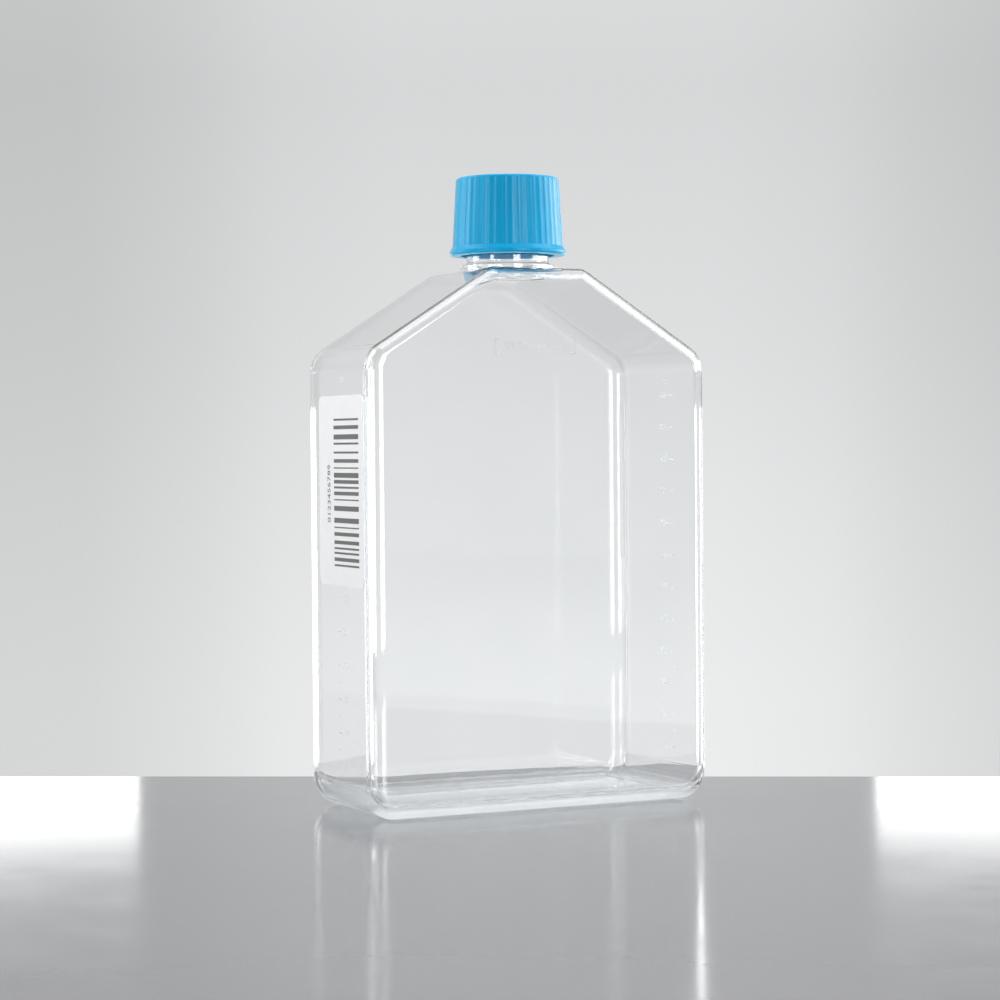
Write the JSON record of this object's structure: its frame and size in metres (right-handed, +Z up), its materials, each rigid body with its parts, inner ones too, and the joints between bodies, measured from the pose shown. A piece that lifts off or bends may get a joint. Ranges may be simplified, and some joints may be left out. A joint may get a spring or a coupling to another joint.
{
  "type": "cell culture flask",
  "caption": "Clear plastic cell culture flask that stands upright, with sloping shoulders, a threaded neck, a ribbed vented screw cap and a label on its side wall.",
  "frame": {"origin": "centre of the base that the flask stands on", "axes": "+Z up through the neck, +X across the broad faces, +Y through the thickness. The front broad face looks towards -Y and the label is on the -X side wall."},
  "size_m": [0.1158, 0.053, 0.1942],
  "materials": {
    "clear_plastic": "clear, glossy",
    "cap_plastic": "satin, slightly translucent",
    "filter": "matte",
    "label": "matte paper"
  },
  "bodies": {
    "flask": {"flask_body": "clear_plastic", "side_label": "label"},
    "cap_carrier": {"vent_membrane": "filter"},
    "cap": {"screw_cap": "cap_plastic"}
  },
  "joints": [
    {"name": "cap_lift", "type": "slide", "parent": "flask", "child": "cap_carrier", "axis": [0, 0, 1], "range_m": [0, 0.0071]},
    {"name": "cap_turn", "type": "hinge", "parent": "cap_carrier", "child": "cap", "pos_m": [0, -0.003, 0.18], "axis": [0, 0, 1], "range_deg": [0, 630]}
  ],
  "couplings": [
    {"joint": "cap_lift", "follows": "cap_turn", "m_per_rad": 0.00063662}
  ]
}
